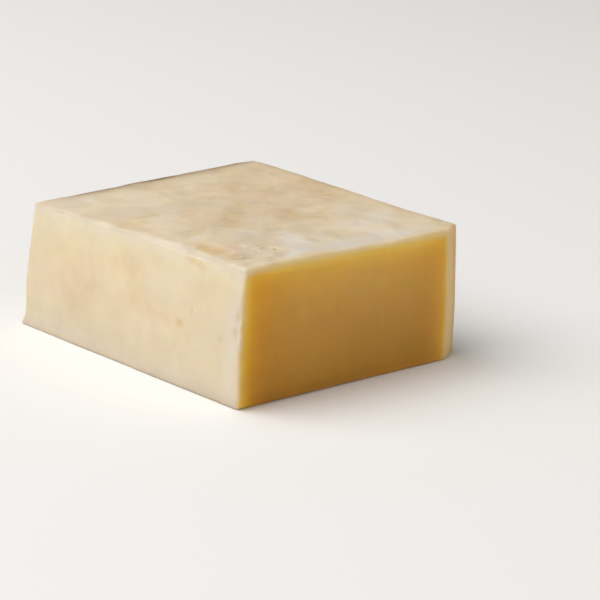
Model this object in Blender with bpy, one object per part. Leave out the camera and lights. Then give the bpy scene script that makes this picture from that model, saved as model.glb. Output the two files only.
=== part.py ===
"""Cheddar chunk: a block cut by hand from a larger cheese, lying on its widest face.

The shape starts as a straight box. Two upright corners are sliced off, every edge is
rounded a little, and level and upright cuts divide the faces. The points are then moved:
the top waves and carries worn dips, pits and flakes, the sides wave, the height falls to
one corner, and the sides lean out to a wider foot. The underside stays flat at z = 0, and
the box round the finished block is centred on the Z axis.

The fresh cut face looks along -Y. The pale face beside it looks along -X.
"""

import math

import bmesh
import bpy
from mathutils import Matrix, Vector, noise

MM = 0.001
NAME = "cheddar_chunk"

# The straight box, before its points are moved
WIDTH = 94.5 * MM  # along the fresh cut face
DEPTH = 108.6 * MM  # along the pale face
HEIGHT = 44.0 * MM
EDGE_ROUND = 1.1 * MM
EDGE_STEPS = 2

# The two upright corners that are sliced off: how far along X and along Y
FRONT_SLICE = (8.6 * MM, 5.2 * MM)
BACK_SLICE = (8.6 * MM, 1.9 * MM)

# Spacing of the cuts that divide the faces
FINE_STEP = 1.7 * MM  # round the corner where the top flakes
FINE_REACH = 30.0 * MM
COARSE_STEP = 4.2 * MM
LEVEL_STEP = 4.4 * MM

# At each upright corner, in the order front left, front right, back left, back right
RISE = (1.0 * MM, 0.1 * MM, -1.7 * MM, 0.9 * MM)  # of the top
LEAN_X = (-1.7 * MM, 1.4 * MM, -2.3 * MM, 1.5 * MM)  # of the foot against the top
LEAN_Y = (-0.1 * MM, -0.4 * MM, 1.7 * MM, 1.5 * MM)
FLARE_X = (0.1 * MM, 0.1 * MM, -1.3 * MM, 0.3 * MM)  # of the last few millimetres
FLARE_Y = (-0.3 * MM, 0.0 * MM, 1.1 * MM, 0.3 * MM)
LEAN_DONE_AT = 16.0 * MM  # the lean ends at this height, and the side drops straight
LEAN_SOFTNESS = 3.0 * MM
FLARE_HEIGHT = 6.0 * MM

# Gentle waves of the top and the sides: how high, and how far apart
TOP_WAVE = (0.45 * MM, 26.0 * MM)
TOP_RIPPLE = (0.18 * MM, 8.0 * MM)
SIDE_WAVE = (0.40 * MM, 24.0 * MM)
CUT_FACE_WAVE = (0.15 * MM, 30.0 * MM)
NIBBLE = (0.55 * MM, 6.5 * MM)  # how the top's edges are worn back
SHOULDER = (0.8 * MM, 4.5 * MM)  # the top's fall to the pale face, and its reach
OUTLINE_WARP = (1.6 * MM, 9.0 * MM)  # makes the outlines of the dips irregular

# Dips and flakes of the top. Each is: distance from the pale face, distance from the cut
# face, half its length, half its width, its turn from X in degrees, and its rise.
WORN_DIPS = (
    (6.5 * MM, 24.0 * MM, 15.0 * MM, 6.0 * MM, 84.0, -0.85 * MM),
    (6.0 * MM, 68.0 * MM, 8.5 * MM, 6.0 * MM, 70.0, -0.75 * MM),
    (23.0 * MM, 76.0 * MM, 8.0 * MM, 3.0 * MM, 38.0, -0.35 * MM),
    (19.0 * MM, 49.0 * MM, 6.0 * MM, 3.5 * MM, 20.0, -0.35 * MM),
    (36.0 * MM, 53.0 * MM, 14.0 * MM, 5.0 * MM, 52.0, -0.30 * MM),
    (62.0 * MM, 51.0 * MM, 9.0 * MM, 4.5 * MM, 58.0, -0.30 * MM),
    (73.0 * MM, 83.0 * MM, 12.0 * MM, 7.0 * MM, 48.0, -0.30 * MM),
)
FLAKES = (
    (13.5 * MM, 9.5 * MM, 4.2 * MM, 1.9 * MM, -35.0, 0.55 * MM),
    (15.5 * MM, 13.0 * MM, 3.4 * MM, 1.7 * MM, -30.0, -0.60 * MM),
    (18.0 * MM, 18.5 * MM, 5.0 * MM, 2.0 * MM, 38.0, 0.50 * MM),
    (23.5 * MM, 20.5 * MM, 4.4 * MM, 1.8 * MM, 30.0, 0.45 * MM),
    (26.5 * MM, 15.0 * MM, 3.2 * MM, 1.7 * MM, 58.0, -0.60 * MM),
    (20.0 * MM, 7.0 * MM, 5.0 * MM, 1.9 * MM, -20.0, -0.40 * MM),
    (27.0 * MM, 5.5 * MM, 3.8 * MM, 1.8 * MM, -8.0, 0.40 * MM),
    (31.5 * MM, 27.0 * MM, 5.5 * MM, 1.8 * MM, 55.0, 0.40 * MM),
    (45.5 * MM, 18.5 * MM, 3.6 * MM, 2.0 * MM, 60.0, -0.40 * MM),
    (12.5 * MM, 41.5 * MM, 4.6 * MM, 3.2 * MM, 60.0, 0.35 * MM),
)

CHEESE_COLOR = (0.80, 0.62, 0.36, 1.0)
CHEESE_ROUGHNESS = 0.55

TOP, BOTTOM = HEIGHT, 0.0
LEFT, RIGHT = -WIDTH / 2, WIDTH / 2
FRONT, BACK = -DEPTH / 2, DEPTH / 2
HAIR = 0.001 * MM  # closer than this is the same place


def clear_scene():
    for thing in list(bpy.data.objects):
        bpy.data.objects.remove(thing, do_unlink=True)


def slice_corner(block, x_sign_y, slice_size):
    """Cuts off the right-hand upright corner at the front (-1) or the back (1)."""
    along_x, along_y = slice_size
    corner_y = BACK if x_sign_y > 0 else FRONT
    on_plane = Vector((RIGHT - along_x, corner_y, 0.0))
    outward = Vector((along_y, x_sign_y * along_x, 0.0)).normalized()
    cut = bmesh.ops.bisect_plane(
        block,
        geom=block.verts[:] + block.edges[:] + block.faces[:],
        plane_co=on_plane,
        plane_no=outward,
        clear_outer=True,
    )
    rim = [piece for piece in cut["geom_cut"] if isinstance(piece, bmesh.types.BMEdge)]
    bmesh.ops.edgeloop_fill(block, edges=rim)


def straight_block():
    """The box with its two sliced corners and rounded edges."""
    block = bmesh.new()
    to_box = Matrix.Translation((0.0, 0.0, HEIGHT / 2)) @ Matrix.Diagonal((WIDTH, DEPTH, HEIGHT, 1.0))
    bmesh.ops.create_cube(block, size=1.0, matrix=to_box)
    slice_corner(block, -1, FRONT_SLICE)
    slice_corner(block, 1, BACK_SLICE)
    bmesh.ops.recalc_face_normals(block, faces=block.faces[:])
    bmesh.ops.bevel(
        block,
        geom=block.edges[:],
        offset=EDGE_ROUND,
        offset_type="OFFSET",
        segments=EDGE_STEPS,
        profile=0.5,
        affect="EDGES",
        clamp_overlap=True,
        material=-1,
    )
    return block


def stations(low, high, fine_reach, fine_step, coarse_step, keep_clear=()):
    """Places of the cuts between two sides: close together at first, then further apart."""
    gap = EDGE_ROUND * 1.3
    fine_count = round(fine_reach / fine_step)
    coarse_count = round((high - low - fine_reach) / coarse_step)
    places = [low + fine_reach * i / max(fine_count, 1) for i in range(fine_count)]
    reach = high - low - fine_reach
    places += [low + fine_reach + reach * i / coarse_count for i in range(coarse_count)]
    clear_of = (low, high, *keep_clear)
    return [p for p in places if min(abs(p - edge) for edge in clear_of) > gap]


def divide(block, axis, places):
    """Cuts the faces, without parting them, where the axis has each of these places."""
    across = Vector([1.0 if i == axis else 0.0 for i in range(3)])
    for place in places:
        bmesh.ops.bisect_plane(
            block,
            geom=block.verts[:] + block.edges[:] + block.faces[:],
            dist=HAIR,
            plane_co=across * place,
            plane_no=across,
        )


def divide_faces(block):
    slices = (RIGHT - FRONT_SLICE[0], RIGHT - BACK_SLICE[0])
    divide(block, 0, stations(LEFT, RIGHT, FINE_REACH, FINE_STEP, COARSE_STEP, slices))
    slices = (FRONT + FRONT_SLICE[1], BACK - BACK_SLICE[1])
    divide(block, 1, stations(FRONT, BACK, FINE_REACH, FINE_STEP, COARSE_STEP, slices))
    divide(block, 2, stations(BOTTOM, TOP, 0.0, FINE_STEP, LEVEL_STEP))
    underside = [face for face in block.faces if max(v.co.z for v in face.verts) < HAIR]
    bmesh.ops.dissolve_faces(block, faces=underside, use_verts=False)


def across_corners(values, u, v):
    """Blends four corner values; u runs from left to right and v from front to back."""
    front = values[0] * (1 - u) + values[1] * u
    back = values[2] * (1 - u) + values[3] * u
    return front * (1 - v) + back * v


def soft_least(a, b, softness):
    """The smaller of two lengths, with the change from one to the other rounded."""
    blend = max(softness - abs(a - b), 0.0) / softness
    return min(a, b) - blend * blend * softness / 4


def wave(a, b, kind, layer):
    """A smooth random height over a face, the same on every run."""
    height, spacing = kind
    return height * noise.noise(Vector((a / spacing, b / spacing, layer)))


def mound(x, y, shape):
    """Height of a rounded oval dip or flake at a place on the top; nought outside it."""
    from_pale, from_cut, half_length, half_width, turn, rise = shape
    dx = x - LEFT - from_pale
    dy = y - FRONT - from_cut
    cos_turn = math.cos(math.radians(turn))
    sin_turn = math.sin(math.radians(turn))
    along = (dx * cos_turn + dy * sin_turn) / half_length
    across = (dy * cos_turn - dx * sin_turn) / half_width
    inside = 1.0 - along * along - across * across
    return rise * inside * inside * (3 - 2 * inside) if inside > 0 else 0.0


def top_relief(x, y):
    """How far the top stands above or below its plane."""
    warped_x = x + wave(x, y, OUTLINE_WARP, 3.5)
    warped_y = y + wave(x, y, OUTLINE_WARP, 8.5)
    height = wave(x, y, TOP_WAVE, 0.5) + wave(x, y, TOP_RIPPLE, 1.5)
    height += sum(mound(warped_x, warped_y, dip) for dip in WORN_DIPS)
    height += sum(mound(x, y, flake) for flake in FLAKES)
    fall, reach = SHOULDER
    height -= fall * max(0.0, 1.0 - (x - LEFT) / reach) ** 2
    return height


def nearness(distance):
    """1 on a face, falling to 0 a little further in than the rounding of its edges."""
    return max(0.0, 1.0 - abs(distance) / (1.6 * EDGE_ROUND))


def worn_back(along, layer):
    """How far an edge is worn back at a place along it; never outwards."""
    height, spacing = NIBBLE
    return height * max(0.0, noise.noise(Vector((along / spacing, layer, 0.5))) + 0.15)


def uneven(point):
    """Moves a point of the straight block by the waves and the wear of the faces near it."""
    x, y, z = point
    on_left, on_right = nearness(x - LEFT), nearness(RIGHT - x)
    on_front, on_back = nearness(y - FRONT), nearness(BACK - y)
    on_top = nearness(TOP - z)
    move = Vector((0.0, 0.0, on_top * top_relief(x, y)))
    move.x += on_right * wave(y, z, SIDE_WAVE, 12.5) - on_left * wave(y, z, SIDE_WAVE, 10.5)
    move.y += on_back * wave(x, z, SIDE_WAVE, 16.5) - on_front * wave(x, z, CUT_FACE_WAVE, 14.5)
    for on_side, along, inward, layer in (
        (on_left, y, Vector((1.0, 0.0, -0.6)), 20.5),
        (on_right, y, Vector((-1.0, 0.0, -0.6)), 22.5),
        (on_front, x, Vector((0.0, 1.0, -0.6)), 24.5),
        (on_back, x, Vector((0.0, -1.0, -0.6)), 26.5),
    ):
        move += inward * (on_side * on_top * worn_back(along, layer))
    return point + move


def leaning(point):
    """Moves a point by the fall of the top and the lean of the sides towards the foot."""
    x, y, z = point
    u, v = (x - LEFT) / WIDTH, (y - FRONT) / DEPTH
    lean = soft_least(HEIGHT - z, HEIGHT - LEAN_DONE_AT, LEAN_SOFTNESS) / (HEIGHT - LEAN_DONE_AT)
    flare = max(0.0, 1.0 - z / FLARE_HEIGHT) ** 1.5
    x += lean * across_corners(LEAN_X, u, v) + flare * across_corners(FLARE_X, u, v)
    y += lean * across_corners(LEAN_Y, u, v) + flare * across_corners(FLARE_Y, u, v)
    z *= 1.0 + across_corners(RISE, u, v) / HEIGHT
    return Vector((x, y, z))


def shape_block(block):
    for vert in block.verts:
        flat = vert.co.z < HAIR
        vert.co = leaning(uneven(vert.co))
        if flat:
            vert.co.z = BOTTOM


def centre_on_axis(block):
    """Puts the middle of the block's own box on the Z axis."""
    xs = [vert.co.x for vert in block.verts]
    ys = [vert.co.y for vert in block.verts]
    middle = Vector(((min(xs) + max(xs)) / 2, (min(ys) + max(ys)) / 2, 0.0))
    bmesh.ops.translate(block, verts=block.verts[:], vec=-middle)


def cheese_material():
    material = bpy.data.materials.new("cheddar")
    material.use_nodes = True
    surface = material.node_tree.nodes["Principled BSDF"]
    surface.inputs["Base Color"].default_value = CHEESE_COLOR
    surface.inputs["Roughness"].default_value = CHEESE_ROUGHNESS
    surface.inputs["Metallic"].default_value = 0.0
    return material


def cheddar_chunk(collection):
    block = straight_block()
    divide_faces(block)
    shape_block(block)
    centre_on_axis(block)
    mesh = bpy.data.meshes.new(NAME)
    block.to_mesh(mesh)
    block.free()
    mesh.materials.append(cheese_material())
    mesh.shade_smooth()
    mesh.set_sharp_from_angle(angle=math.radians(50))
    chunk = bpy.data.objects.new(NAME, mesh)
    collection.objects.link(chunk)
    return chunk


def main():
    clear_scene()
    parts = bpy.data.collections.new("cheddar chunk")
    bpy.context.scene.collection.children.link(parts)
    cheddar_chunk(parts)


main()
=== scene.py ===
"""Cheddar chunk: the looks.

The chunk is made again at full detail, from the same block, waves and leans as its faceted
solid. A straight block with two sliced corners is cut into small faces, and its points are
moved by waves, worn dips, plates, flakes and pits, and then by the lean of the sides. Its
edges, worn rim, dips, flakes and one corner of the foot follow the real chunk more closely
than the solid's do. The same sizes also say where the cheese is fresh, worn or dried, and
where light and shade are painted into its colour, and its one material reads that.
"""

import math

import bmesh
import bpy
from mathutils import Matrix, Vector, noise


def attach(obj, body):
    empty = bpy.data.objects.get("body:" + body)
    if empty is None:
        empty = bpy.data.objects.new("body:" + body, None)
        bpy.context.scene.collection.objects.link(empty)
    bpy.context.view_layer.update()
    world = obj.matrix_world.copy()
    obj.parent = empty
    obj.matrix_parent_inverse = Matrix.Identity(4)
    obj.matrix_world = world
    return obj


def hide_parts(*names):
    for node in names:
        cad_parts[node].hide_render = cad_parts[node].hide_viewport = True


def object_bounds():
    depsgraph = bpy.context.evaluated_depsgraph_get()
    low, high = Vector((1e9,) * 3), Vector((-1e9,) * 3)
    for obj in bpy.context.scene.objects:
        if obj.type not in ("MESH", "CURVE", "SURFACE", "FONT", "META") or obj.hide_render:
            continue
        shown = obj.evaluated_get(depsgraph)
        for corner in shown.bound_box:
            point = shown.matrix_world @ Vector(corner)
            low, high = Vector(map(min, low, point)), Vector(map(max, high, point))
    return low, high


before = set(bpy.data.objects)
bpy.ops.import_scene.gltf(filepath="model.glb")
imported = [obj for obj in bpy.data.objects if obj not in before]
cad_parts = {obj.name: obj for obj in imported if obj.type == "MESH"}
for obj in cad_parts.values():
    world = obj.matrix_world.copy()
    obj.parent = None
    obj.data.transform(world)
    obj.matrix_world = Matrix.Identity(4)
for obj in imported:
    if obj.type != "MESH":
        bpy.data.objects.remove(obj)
cad_low, cad_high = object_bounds()

MM = 0.001

# ---------------------------------------------------------------- sizes of the chunk

WIDTH = 94.5 * MM  # along the fresh cut face, which looks along -Y
DEPTH = 108.6 * MM  # along the pale face, which looks along -X
HEIGHT = 44.0 * MM
EDGE_ROUND = 0.9 * MM
EDGE_STEPS = 3

# The two upright corners that are sliced off: how far along X and along Y
FRONT_SLICE = (8.6 * MM, 5.2 * MM)
BACK_SLICE = (8.6 * MM, 1.9 * MM)

# Spacing of the first cuts, and into how many parts each edge between them is then divided
FINE_STEP = 2.0 * MM
FINE_REACH = 32.0 * MM
COARSE_STEP = 3.2 * MM
LEVEL_STEP = 3.2 * MM
CUT_CLEARANCE = 1.3 * EDGE_ROUND  # no cut comes closer than this to an edge
DIVIDE_EACH_BY = 4
FLAKY_REACH = (34.0 * MM, 32.0 * MM)  # of the part of the top that is divided once more
HAIR = 0.001 * MM  # what is closer than this is at the same place
X, Y, Z = 0, 1, 2

# At each upright corner, in the order front left, front right, back left, back right:
# how far the top rises, and how far the side leans and then flares towards the foot
RISE = (1.0 * MM, 0.1 * MM, -1.7 * MM, 0.9 * MM)
LEAN_X = (-1.7 * MM, 1.4 * MM, -2.3 * MM, 1.5 * MM)
LEAN_Y = (-0.1 * MM, -0.4 * MM, 1.7 * MM, 1.5 * MM)
FLARE_X = (0.8 * MM, 0.1 * MM, -1.3 * MM, 0.3 * MM)
FLARE_Y = (1.3 * MM, 0.0 * MM, 1.1 * MM, 0.3 * MM)
LEAN_DONE_AT = 16.0 * MM  # at this height the lean ends, and the side drops straight
LEAN_SOFTNESS = 3.0 * MM
FLARE_HEIGHT = 6.0 * MM
FLARE_CURVE = 1.5

# Waves and wear: how high, and how far apart
TOP_WAVE = (0.45 * MM, 26.0 * MM)
TOP_RIPPLE = (0.18 * MM, 8.0 * MM)
SIDE_WAVE = (0.40 * MM, 24.0 * MM)
CUT_FACE_WAVE = (0.15 * MM, 30.0 * MM)
NIBBLE = (0.40 * MM, 6.5 * MM)  # how the top's edges are worn back
OUTLINE_WARP = (1.2 * MM, 9.0 * MM)  # makes the outlines of dips and patches irregular
OUTLINE_FRAY = (0.5 * MM, 3.2 * MM)  # and ragged
TOP_GRAIN = (0.05 * MM, 2.8 * MM)  # the skin's small lumps
SIDE_GRAIN = (0.04 * MM, 3.4 * MM)
NIBBLE_BIAS = 0.15  # without it, half of each edge would be left sharp
WEAR_DROP = 0.6  # how far down an edge is worn for each millimetre that it is worn back
FACE_REACH = 1.6 * EDGE_ROUND  # over which a face's waves fade out round its edges

# The layer of the noise that each pattern is cut from, so that no two patterns are alike.
# The noise is nought at whole numbers, so every layer lies halfway between two of them.
HALFWAY = 0.5
WAVE_LAYER, RIPPLE_LAYER, OUTLINE_LAYER, GRAIN_LAYER = 0.5, 1.5, 3.5, 5.5  # of the top
LEFT_LAYER, RIGHT_LAYER, FRONT_LAYER, BACK_LAYER = 10.5, 12.5, 14.5, 16.5
GRAIN_LAYER_X, GRAIN_LAYER_Y = 32.5, 34.5
FRAY_LAYER = 40.5
LEFT_PATCH_LAYER, FRONT_PATCH_LAYER = 43.5, 45.5
RIGHT_PATCH_LAYER, BACK_PATCH_LAYER = 47.5, 49.5
PLATE_LAYER, FLAKE_LAYER = 60.5, 64.5
# From a pattern's own layer to the further ones that it needs
TO_SECOND_PUSH = 5.0
TO_WORN_EDGE = 10.0
TO_FRAYED = 30.0

# The cream rim along the pale face, where the top's edge is worn down; its cream is partly
# painted light, as the worn edge turns towards the lamp like the pale face. Its least width,
# and where it is wider, as distance from the cut face, reach and extra width in mm
RIM_WIDTH = 0.4 * MM
RIM_SWELLS = ((27.0, 19.0, 3.6), (48.0, 16.0, 2.5), (71.0, 10.0, 1.9))
RIM_LEAST_FALL = 0.05 * MM  # of the edge below the top
RIM_FALL = 0.25  # and what is added to it, as a share of the rim's width
WORN_LEAST_REACH = 1.4 * MM  # of the wear, in from the pale face
WORN_REACH = 1.3  # and what is added to it, in widths of the rim

# Thin plates of the flaky corner
PLATE_SIZE = (4.6 * MM, 3.4 * MM)
PLATE_WARP = (1.1 * MM, 2.6 * MM)  # how high and how far apart the waves of their outlines are
PLATE_STEP = 0.16 * MM  # how far one plate may stand above the others
PLATE_TILT = 0.22 * MM  # how far a plate may rise over its own size
PLATE_BLEND = 0.16  # how softly one plate runs into the next, as a share of its size
PLATE_SHUFFLE = 71.3  # takes the middles of two plates to unlike random numbers
PLATE_TONE = 0.5  # how strongly a plate is tinted
PLATE_BLOOM = 0.5  # the tint of a pale plate, as a share of a brown one's


def oval(from_side, from_edge, half_length, half_width, turn, amount):
    """A rounded patch on a face: its place, half sizes and turn, and how much of it.

    On the top the place is taken from the pale face and from the cut face, and on the cut
    face from the pale face and down from the top. On the pale face, and again on the right
    and the back face, which take the same patches, it is taken from the right-hand end, as
    one looks at that face, and down from the top. All are in mm, and the turn is in degrees.
    """
    place = (from_side * MM, from_edge * MM)
    return (*place, half_length * MM, half_width * MM, math.radians(turn), amount)


def flake(from_side, from_edge, half_length, turn, lift):
    """A lifted flake: the middle of its broken edge, half that edge's length, and its rise.

    These are in mm, and the turn of the edge is in degrees.
    """
    return (from_side * MM, from_edge * MM, half_length * MM, math.radians(turn), lift * MM)


# Relief, the last number being its rise in mm. The worn dips have irregular outlines.
WORN_DIPS = (
    oval(6.5, 24.0, 15.0, 6.0, 84, -0.70),
    oval(6.0, 65.0, 8.5, 6.0, 70, -0.50),
    oval(20.0, 71.0, 8.0, 3.6, 20, -0.16),
    oval(16.0, 44.0, 6.0, 4.0, 20, -0.20),
    oval(33.0, 50.0, 14.0, 5.6, 52, -0.20),
    oval(56.0, 47.0, 9.0, 5.0, 58, -0.20),
    oval(67.0, 79.0, 12.0, 7.0, 48, -0.20),
)
FLAKY_CORNER = (oval(17.0, 13.0, 18.0, 14.0, 40, 1.0),)
FLAKES = (
    flake(10.8, 11.0, 1.4, -42, 0.22),
    flake(22.5, 12.6, 1.9, 70, 0.20),
    flake(20.2, 16.6, 2.8, -28, 0.16),
    flake(13.9, 6.1, 1.7, -25, 0.12),
    flake(12.5, 2.6, 1.8, -30, 0.14),
    flake(7.3, 11.1, 1.3, -35, 0.11),
    flake(16.4, 17.6, 2.0, 40, 0.06),
    flake(23.2, 6.4, 1.4, 10, 0.09),
    flake(11.0, 16.4, 1.5, -66, 0.07),
    flake(28.0, 25.1, 2.2, -14, 0.10),
)
# A flake's lip stands up in front of its broken edge, and a gap lies behind it
LIP_REACH = 0.8 * MM
LIP_PLACE = 0.3 * MM
LIP_RISE = 0.45  # as a share of the flake's lift, which is the depth of the gap
GAP_WIDTH = 0.55 * MM
GAP_PLACE = 0.8  # of the gap's middle, in widths of the gap
FLAKE_BOW = 0.16  # of the broken edge, as a share of half its length
FLAKE_FRAY = (0.7 * MM, 2.2 * MM)
DARK_LIFT = 0.22 * MM  # from this lift on, a gap's painted shade and a lip's tint are as strong as they get
PALE_FACE_PITS = (
    oval(29.0, 22.8, 1.4, 1.0, 10, -0.28),
    oval(27.6, 24.0, 1.2, 0.8, 0, 0.14),
    oval(23.0, 18.0, 1.2, 0.8, 30, -0.35),
    oval(21.8, 17.4, 1.1, 0.8, 30, 0.16),
    oval(9.0, 24.0, 1.3, 0.9, 30, -0.25),
    oval(1.6, 16.0, 2.4, 1.4, 80, -0.45),
    oval(1.8, 20.5, 2.2, 1.5, 90, -0.30),
    oval(71.0, 21.0, 1.3, 0.8, 20, -0.14),
)
CUT_FACE_MARKS = (
    oval(56.0, 20.5, 4.0, 1.6, 82, -0.10),
    oval(57.6, 25.0, 3.0, 1.4, 78, 0.06),
    oval(38.5, 19.0, 3.4, 0.9, 90, -0.10),
    oval(18.8, 11.4, 1.6, 0.6, 10, -0.10),
    oval(14.2, 20.5, 1.8, 0.6, 80, -0.12),
    oval(16.2, 29.0, 1.0, 0.7, 0, -0.10),
    oval(20.4, 33.6, 1.2, 0.7, 30, -0.12),
    oval(5.4, 20.4, 1.2, 0.7, 60, -0.12),
)

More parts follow.
